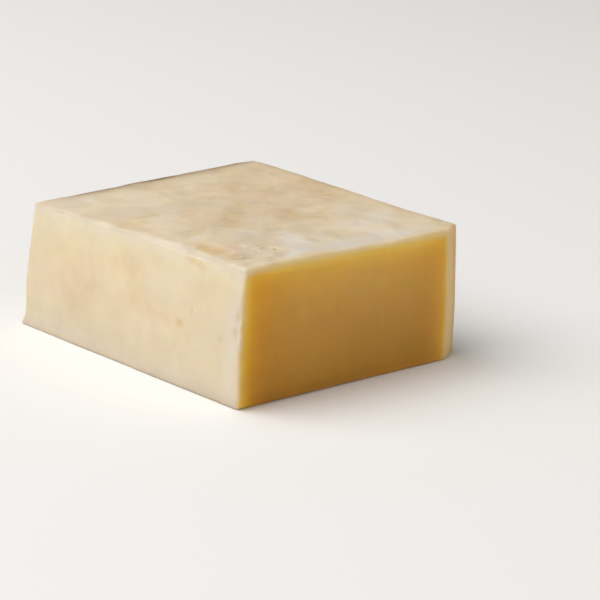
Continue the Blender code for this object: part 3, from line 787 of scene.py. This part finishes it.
def finish_marks(point):
    """What the material needs to know at a point of the straight block, mostly from 0 to 1."""
    x, y, z = point
    fray = wave(x + y, z, OUTLINE_FRAY, FRAY_LAYER)
    from_pale, from_facet = x - LEFT, RIGHT - FRONT_SLICE[X] - x
    from_top, from_foot = TOP - z, z
    on_top = 1.0 - fade_in(from_top, *TOP_BORDER)
    on_cut = 1.0 - fade_in(y - FRONT, *CUT_BORDER)

    # Fresh cheese, inside the dried edges of the cut face
    late = LATE_START * math.exp(-max(from_pale, 0.0) / LATE_REACH)
    within = fade_in(from_top + TOP_FRAY * fray - late, *FRESH_BELOW_TOP)
    within *= fade_in(from_pale + fray, *FRESH_BESIDE_PALE)
    within *= 1.0 - FACET_HAZE * math.exp(-max(from_facet, 0.0) / FACET_HAZE_REACH)
    above_foot = fade_in(from_foot + fray, *FRESH_ABOVE_FOOT)
    within *= fade_in(from_facet + fray, *FRESH_BESIDE_FACET) * above_foot
    inward = min(from_pale, FACET_BAND_SQUEEZE * from_facet + FACET_BAND_START)

    # The facet, with the fresh cheese shining through its edge
    facet = fade_in(-from_facet, *FACET_BORDER)
    facet *= fade_in(FRONT + FRONT_SLICE[Y] - y, *FACET_DEPTH)
    glow = GLOW * facet * math.exp(from_facet / GLOW_REACH) * fade_in(from_top, *GLOW_BELOW_TOP)

    # The worn rim, its cream partly painted light; the painted shade along its crease and along
    # the top's far edges; and the flakes, with painted shade in their gaps and pale lips that
    # are partly a painted highlight
    width = rim_width(y)
    rim = 1.0 - fade_in(from_pale + RIM_FRAY * fray, width + RIM_BORDER[0], RIM_BORDER[1])
    rim *= RIM_ON_SIDE + (1.0 - RIM_ON_SIDE) * on_top
    over, down = from_pale / CREASE_REACH[0], from_top / CREASE_REACH[1]
    crease = 1.0 - CREASE_WORN * min((width - RIM_WIDTH) / CREASE_WORN_AT, 1.0)
    back_edge = fade_in(from_pale, *BACK_SHADE_BORDER)
    back_edge *= math.exp(-(max(BACK - y, 0.0) / BACK_SHADE_REACH) ** EDGE_SHADE_CURVE)
    right_edge = math.exp(-(max(RIGHT - x, 0.0) / RIGHT_SHADE_REACH) ** EDGE_SHADE_CURVE)
    right_shade = RIGHT_SHADE_RISE * fade_in(y - FRONT, *RIGHT_SHADE_BORDER)
    right_edge *= RIGHT_SHADE_LEAST + right_shade
    _, painted_gap_shade, painted_lip_highlight = flaking(x, y)

    marks = {
        "down": from_top / HEIGHT,
        "inward": inward / BAND_REACH,
        "top": on_top,
        "fresh": max(on_cut * within, glow),
        "olive": OLIVE * on_cut * math.exp(-abs(from_facet) / OLIVE_REACH),
        "deep": DEEP_AT_TOP + (1.0 - DEEP_AT_TOP) * fade_in(from_top, *DEEP_BELOW_TOP),
        "facet": facet * (1.0 - FACET_ON_TOP * on_top),
        "rim": rim * (1.0 - fade_in(from_top, *RIM_DOWN)),
        "crease": crease * math.exp(-over ** 2 - down ** 2),
        "far_edge": on_top * max(back_edge, right_edge),
        "gap": on_top * painted_gap_shade,
        "lip": LIP_PALLOR_AND_HIGHLIGHT * on_top * painted_lip_highlight,
    }
    marks.update({name: 0.0 for name in ("amber", "brown", "shade", "bloom", "rosy")})

    # Patches: how far below each face the point lies, its place there, and what the face has
    for depth, a, b, layer, colours in (
        (from_top, x, y, OUTLINE_LAYER, TOP_COLOURS),
        (from_pale, y, z, LEFT_PATCH_LAYER, PALE_FACE_COLOURS),
        (RIGHT - x, -y, z, RIGHT_PATCH_LAYER, PALE_FACE_COLOURS),
        (BACK - y, x * DEPTH / WIDTH, z, BACK_PATCH_LAYER, PALE_FACE_COLOURS),
        (y - FRONT, x, z, FRONT_PATCH_LAYER, CUT_FACE_COLOURS),
    ):
        on_face = 1.0 - fade_in(depth, *FACE_BORDER)
        if on_face <= 0.0:
            continue
        frayed_a, frayed_b = warped(a, b, OUTLINE_FRAY, layer + TO_FRAYED)
        warped_a, warped_b = warped(frayed_a, frayed_b, OUTLINE_WARP, layer)
        from_side = warped_a - (FRONT if colours is PALE_FACE_COLOURS else LEFT)
        from_edge = warped_b - FRONT if colours is TOP_COLOURS else TOP - warped_b
        for name, shapes in colours.items():
            marks[name] += on_face * all_mounds(from_side, from_edge, shapes, COLOUR_FLANK)
    # The facet browns away from the cut face: partly painted shade
    marks["brown"] += FACET_BROWN * facet * fade_in(-from_facet, *FACET_BROWN_BORDER)
    if on_top > 0.0:
        flakiness = all_mounds(x - LEFT, y - FRONT, FLAKY_CORNER, COLOUR_FLANK)
        _, plate_tone = plates(x, y)
        tone = PLATE_TONE * flakiness * plate_tone
        marks["brown"] += on_top * max(tone, 0.0)
        marks["bloom"] += on_top * max(-PLATE_BLOOM * tone, 0.0)
    return marks


def shape_block(block):
    """Moves every point into place, and stores the marks that the material reads."""
    marks = {name: block.verts.layers.float.new(name) for name in finish_marks(Vector())}
    for vert in block.verts:
        for name, amount in finish_marks(vert.co).items():
            vert[marks[name]] = amount
        flat = vert.co.z < HAIR
        vert.co = leaning(uneven(vert.co))
        if flat:
            vert.co.z = BOTTOM


def fit_to_box(block, low, high):
    """Puts the block's own box on the middle of the solid's, and keeps it from standing out."""
    own = [[vert.co[i] for vert in block.verts] for i in range(3)]
    shift = Vector([(low[i] + high[i] - min(own[i]) - max(own[i])) / 2 for i in range(3)])
    shift.z = 0.0
    bmesh.ops.translate(block, verts=block.verts[:], vec=shift)
    for vert in block.verts:
        vert.co = [min(max(vert.co[i], low[i]), high[i]) for i in range(3)]


# ---------------------------------------------------------------- materials

def srgb(hex_code):
    """An sRGB hex colour as linear light."""
    parts = [int(hex_code[i:i + 2], 16) / 255 for i in (0, 2, 4)]
    return (*[p / 12.92 if p <= 0.04045 else ((p + 0.055) / 1.055) ** 2.4 for p in parts], 1.0)


def per_size(size):
    """The scale of a noise that goes from light to dark and back about once in this length."""
    return 1.0 / size


def add_node(tree, kind, settings=None, inputs=None):
    """Adds a node, sets its settings and a ramp's stops, and sets or links its inputs."""
    made = tree.nodes.new(kind)
    for name, value in (settings or {}).items():
        if name == "stops":
            while len(made.color_ramp.elements) < len(value):
                made.color_ramp.elements.new(1.0)
            for stop, (place, colour) in zip(made.color_ramp.elements, value):
                stop.position = place
                stop.color = colour
        else:
            setattr(made, name, value)
    for name, value in (inputs or {}).items():
        if isinstance(value, bpy.types.NodeSocket):
            tree.links.new(value, made.inputs[name])
        else:
            made.inputs[name].default_value = value
    return made


# A Mix node's sockets: its share, two colours and what they give, and two values likewise
MIX, MIX_A, MIX_B, MIXED = 0, 6, 7, 2
MIX_VALUE_A, MIX_VALUE_B, MIXED_VALUE = 2, 3, 0
FACTOR_A, FACTOR_B = 0, 1  # sockets of a Math node

# Colours of the pale sides and of the fresh cut, from the top edge down to the foot, in mm.
# Both darken at the foot as painted shade. The cut's brighter top is painted light that
# shines through from the top, and its deep gold is partly its own colour and partly painted
# shade and light
PALE_SIDE_WITH_PAINTED_FOOT_SHADE = (
    (0.0, "EDE4D5"), (2.0, "ECE4D0"), (5.0, "F0E4C6"), (10.0, "F0E1C1"), (18.0, "EEDEC0"),
    (26.0, "ECDDC1"), (34.0, "EADCC1"), (39.0, "E5DAC4"), (42.0, "DFD3C2"), (43.2, "D9C8B2"),
)
FRESH_CUT_WITH_PAINTED_LIGHT = (
    (0.0, "FFDD54"), (1.2, "FFDD58"), (2.5, "FFDD67"), (4.0, "FACD56"), (6.0, "F4C253"),
    (8.0, "EEB952"), (14.0, "E3B152"), (22.0, "D9A54C"), (30.0, "D19E40"), (37.0, "C99636"),
    (41.0, "C69130"), (43.0, "CC9533"),
)
# The cut's bright golden band inside its upright edges, painted light that shines through
# from the lit faces: distance in mm, colour and share
PAINTED_EDGE_GLOW = (
    (0.0, "F3CD5B", 1.0), (1.0, "F7D55D", 0.95), (2.0, "FED956", 0.80), (3.5, "FFC831", 0.66),
    (5.0, "FDC32D", 0.46), (8.0, "FFBF33", 0.24), (12.0, "FFBC37", 0.06), (20.0, "FFBF3B", 0.0),
)
# and how much blue that painted light loses there
PAINTED_GLOW_BLUE_LOSS = (
    (0.0, "FFEFA8"), (3.0, "FBED8A"), (5.0, "FAEE8C"), (8.0, "FFEFAC"), (12.0, "FFF7D4"),
    (24.0, "FFFFFF"),
)

TOP_SKIN = "EFDEC2"
# Layers over the skin: mark, colour, and whether the patches are broken up
SKIN_LAYERS = (
    ("facet", "FCD496", False),
    ("brown", "D2B78E", True),
    ("amber", "E2C088", True),
    ("shade", "CDBB9A", True),
    ("bloom", "EEE9E3", True),
    ("rosy", "E6C6A8", True),
    # Painted shade along the top's far edges
    ("far_edge", "8C7556", False),
    # The rim's cream: paler worn skin, partly painted light
    ("rim", "F3E9D6", False),
    # Painted shade in the flakes' gaps, and the lips' pallor, partly a painted highlight
    ("gap", "B8A07A", False),
    ("lip", "FAF0DC", False),
)


def cheddar():
    """Cheddar, cut by hand and left to dry a little.

    The fresh cut is deep yellow and a little greasy, with the knife's fine drag lines. The
    dried skin is paler, matt and mottled, tan where it is oldest and white with bloom where
    it has been handled. Light goes some millimetres into both, blue the least far, which
    softens the edges and turns them gold. Light and shade are also painted into the colour:
    the cut's gold edge band, brighter top and darker foot, the dull crease at the rim, the dark
    far edges and flake gaps, and in part the cut's deep gold, the rim's cream, the facet's
    brown and the flake lips' pallor.
    """
    material = bpy.data.materials.new("cheddar_cut_and_dried")
    material.use_nodes = True
    tree = material.node_tree
    surface = tree.nodes["Principled BSDF"]
    place = add_node(tree, "ShaderNodeTexCoord").outputs["Object"]
    marks = {
        name: add_node(tree, "ShaderNodeAttribute", {"attribute_name": name}).outputs["Fac"]
        for name in finish_marks(Vector())
    }

    # Noise patterns: their size, detail, roughness and distortion. The skin's grain, and the
    # knife's lines below, are only as coarse as they have to be to show.
    noises = {}
    for name, size, detail, rough, twist in (
        ("mottle", 15 * MM, 3.0, 0.5, 0.4),
        ("blotch", 6 * MM, 2.0, 0.5, 0.5),
        ("patchy", 6 * MM, 2.0, 0.5, 0.8),
        ("layers", 13 * MM, 2.0, 0.5, 0.6),
        ("grain", 1.2 * MM, 3.0, 0.6, 0.0),
    ):
        noises[name] = add_node(tree, "ShaderNodeTexNoise", {}, {
            "Vector": place, "Scale": per_size(size), "Detail": detail, "Roughness": rough,
            "Distortion": twist,
        }).outputs["Fac"]

    # The same noise drawn out along one direction: turn about Y, then length and height
    for name, turn, length, height in (
        ("drag", 5, 45 * MM, 0.55 * MM),
        ("bands", 88, 70 * MM, 4.5 * MM),
    ):
        drawn_out = add_node(tree, "ShaderNodeMapping", {"vector_type": "TEXTURE"}, {
            "Vector": place,
            "Rotation": (0.0, math.radians(turn), 0.0),
            "Scale": (length, length, height),
        }).outputs["Vector"]
        noises[name] = add_node(tree, "ShaderNodeTexNoise", {}, {
            "Vector": drawn_out, "Scale": 1.0, "Detail": 2.0, "Roughness": 0.5,
        }).outputs["Fac"]

    ramps = {}
    for name, colours, where, reach in (
        ("side", PALE_SIDE_WITH_PAINTED_FOOT_SHADE, "down", HEIGHT),
        ("cut", FRESH_CUT_WITH_PAINTED_LIGHT, "down", HEIGHT),
        ("band", PAINTED_EDGE_GLOW, "inward", BAND_REACH),
        ("depth", PAINTED_GLOW_BLUE_LOSS, "inward", BAND_REACH),
    ):
        stops = []
        for distance, hex_code, *share in colours:
            red, green, blue, opaque = srgb(hex_code)
            alpha = share[0] if share else opaque
            stops.append((distance * MM / reach, (red, green, blue, alpha)))
        ramps[name] = add_node(tree, "ShaderNodeValToRGB", {"stops": stops}, {"Fac": marks[where]})

    # Patches with a soft border all over the top, which let it look layered
    layered = add_node(tree, "ShaderNodeMapRange", {"interpolation_type": "SMOOTHSTEP"}, {
        "Value": noises["layers"],
        "From Min": 0.43, "From Max": 0.55, "To Min": 0.0, "To Max": 1.0,
    }).outputs["Result"]
    layered = add_node(tree, "ShaderNodeMath", {"operation": "MULTIPLY"}, {
        FACTOR_A: layered, FACTOR_B: marks["top"],
    }).outputs["Value"]

    # The skin, with its patches broken up by a finer noise
    patchiness = add_node(tree, "ShaderNodeMapRange", {}, {
        "Value": noises["patchy"],
        "From Min": 0.35, "From Max": 0.65, "To Min": 0.7, "To Max": 1.25,
    }).outputs["Result"]
    skin = add_node(tree, "ShaderNodeMix", {"data_type": "RGBA"}, {
        MIX: marks["top"], MIX_A: ramps["side"].outputs["Color"], MIX_B: srgb(TOP_SKIN),
    }).outputs[MIXED]
    for name, colour, broken in SKIN_LAYERS:
        share = marks[name]
        if broken:
            share = add_node(tree, "ShaderNodeMath", {"operation": "MULTIPLY", "use_clamp": True}, {
                FACTOR_A: share, FACTOR_B: patchiness,
            }).outputs["Value"]
        skin = add_node(tree, "ShaderNodeMix", {"data_type": "RGBA"}, {
            MIX: share, MIX_A: skin, MIX_B: srgb(colour),
        }).outputs[MIXED]

    # The cut, with its golden band and its loss of blue, both painted light, its marks, and the
    # knife's bands and drag lines
    cut = ramps["cut"].outputs["Color"]
    for share, blend, colour in (
        (marks["deep"], "MULTIPLY", ramps["depth"].outputs["Color"]),
        (ramps["band"].outputs["Alpha"], "MIX", ramps["band"].outputs["Color"]),
        (marks["olive"], "MIX", srgb("F2DA86")),
        (marks["bloom"], "MIX", srgb("E6D4AC")),
        (marks["brown"], "MIX", srgb("A87C30")),
    ):
        cut = add_node(tree, "ShaderNodeMix", {"data_type": "RGBA", "blend_type": blend}, {
            MIX: share, MIX_A: cut, MIX_B: colour,
        }).outputs[MIXED]
    banded = add_node(tree, "ShaderNodeMapRange", {}, {
        "Value": noises["bands"], "From Min": 0.3, "From Max": 0.7, "To Min": 0.0, "To Max": 0.3,
    }).outputs["Result"]
    for share, darker in ((banded, "F4F2EA"), (noises["drag"], "FAF7F0")):
        cut = add_node(tree, "ShaderNodeMix", {"data_type": "RGBA", "blend_type": "MULTIPLY"}, {
            MIX: share, MIX_A: cut, MIX_B: srgb(darker),
        }).outputs[MIXED]

    # Both together, darkened a little here and there, with painted shade along the crease at the
    # rim
    colour = add_node(tree, "ShaderNodeMix", {"data_type": "RGBA"}, {
        MIX: marks["fresh"], MIX_A: skin, MIX_B: cut,
    }).outputs[MIXED]
    for share, darker in (
        (noises["mottle"], "EFECE5"),
        (noises["blotch"], "F7F5F1"),
        (layered, "F8F6F4"),
        (marks["crease"], "DFE0E6"),
    ):
        colour = add_node(tree, "ShaderNodeMix", {"data_type": "RGBA", "blend_type": "MULTIPLY"}, {
            MIX: share, MIX_A: colour, MIX_B: srgb(darker),
        }).outputs[MIXED]

    # Fine relief: grain on the skin, drag lines on the cut
    fine = add_node(tree, "ShaderNodeMix", {"data_type": "FLOAT"}, {
        MIX: marks["fresh"], MIX_VALUE_A: noises["grain"], MIX_VALUE_B: noises["drag"],
    }).outputs[MIXED_VALUE]
    bump = add_node(tree, "ShaderNodeBump", {}, {
        "Strength": 0.35, "Distance": 0.08 * MM, "Height": fine,
    }).outputs["Normal"]

    tree.links.new(colour, surface.inputs["Base Color"])
    tree.links.new(bump, surface.inputs["Normal"])
    surface.inputs["Roughness"].default_value = 0.55
    surface.inputs["IOR"].default_value = 1.45
    surface.inputs["Specular IOR Level"].default_value = 0.35
    surface.inputs["Subsurface Weight"].default_value = 1.0
    surface.inputs["Subsurface Radius"].default_value = (1.0, 0.8, 0.35)
    surface.inputs["Subsurface Scale"].default_value = 3.0 * MM
    return material


def studio_card():
    """Matt white card: one even tone with hardly a sheen, as uncoated card has."""
    material = bpy.data.materials.new("matt_white_card")
    material.use_nodes = True
    surface = material.node_tree.nodes["Principled BSDF"]
    surface.inputs["Base Color"].default_value = srgb("F4F4F4")
    surface.inputs["Roughness"].default_value = 0.9
    surface.inputs["Specular IOR Level"].default_value = 0.1
    return material


# ---------------------------------------------------------------- pieces

def cheddar_piece():
    """The whole chunk as one piece, which stands for the solid."""
    block = straight_block()
    divide_faces(block)
    shape_block(block)
    fit_to_box(block, cad_low, cad_high)
    mesh = bpy.data.meshes.new("cheddar_block")
    block.to_mesh(mesh)
    block.free()
    mesh.materials.append(cheddar())
    mesh.shade_smooth()
    piece = bpy.data.objects.new("cheddar_block", mesh)
    bpy.context.scene.collection.objects.link(piece)
    return piece


def floor():
    """The card that the chunk lies on."""
    card = bmesh.new()
    bmesh.ops.create_grid(card, x_segments=1, y_segments=1, size=CARD_REACH)
    mesh = bpy.data.meshes.new("floor")
    card.to_mesh(mesh)
    card.free()
    mesh.materials.append(studio_card())
    piece = bpy.data.objects.new("floor", mesh)
    bpy.context.scene.collection.objects.link(piece)
    return piece


def area_light(name, towards, size, power):
    """A square soft light that looks at the chunk from this direction."""
    lamp = bpy.data.lights.new(name, "AREA")
    lamp.size = size
    lamp.energy = power
    lamp.color = LIGHT_COLOUR
    held = bpy.data.objects.new(name, lamp)
    middle = (cad_low + cad_high) / 2
    held.location = middle + towards.normalized() * LIGHT_DISTANCE
    held.rotation_euler = towards.to_track_quat("Z", "Y").to_euler()
    bpy.context.scene.collection.objects.link(held)


def camera():
    """The camera of the photo: out from the front left corner, looking a little down."""
    across = Vector((1.0, 0.0, 0.0))
    ahead = Vector((0.0, math.cos(CAMERA_PITCH), -math.sin(CAMERA_PITCH)))
    up = Vector((0.0, math.sin(CAMERA_PITCH), math.cos(CAMERA_PITCH)))
    rolled_across = across * math.cos(CAMERA_ROLL) + up * math.sin(CAMERA_ROLL)
    rolled_up = up * math.cos(CAMERA_ROLL) - across * math.sin(CAMERA_ROLL)
    looking = Matrix((rolled_across, rolled_up, -ahead)).transposed().to_4x4()
    turned = Matrix.Rotation(-CAMERA_TURN, 4, "Z")
    lens = bpy.data.cameras.new("camera")
    lens.lens = LENS
    lens.sensor_width = SENSOR
    lens.clip_start = NEAREST_SEEN
    lens.clip_end = FURTHEST_SEEN
    held = bpy.data.objects.new("camera", lens)
    held.matrix_world = turned @ Matrix.Translation(CAMERA_PLACE) @ looking
    bpy.context.scene.collection.objects.link(held)
    bpy.context.scene.camera = held


def studio():
    """A white card, a large soft light high up on the left, and a weak one in front."""
    floor()
    area_light("key", KEY_FROM, KEY_SIZE, KEY_POWER)
    area_light("fill", FILL_FROM, FILL_SIZE, FILL_POWER)
    world = bpy.data.worlds.new("studio")
    world.use_nodes = True
    back = world.node_tree.nodes["Background"]
    back.inputs["Color"].default_value = (*LIGHT_COLOUR, 1.0)
    back.inputs["Strength"].default_value = WORLD_STRENGTH
    bpy.context.scene.world = world
    bpy.context.scene.view_settings.view_transform = "Standard"


chunk = cheddar_piece()
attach(chunk, "root")
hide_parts("cheddar_chunk")
camera()
studio()
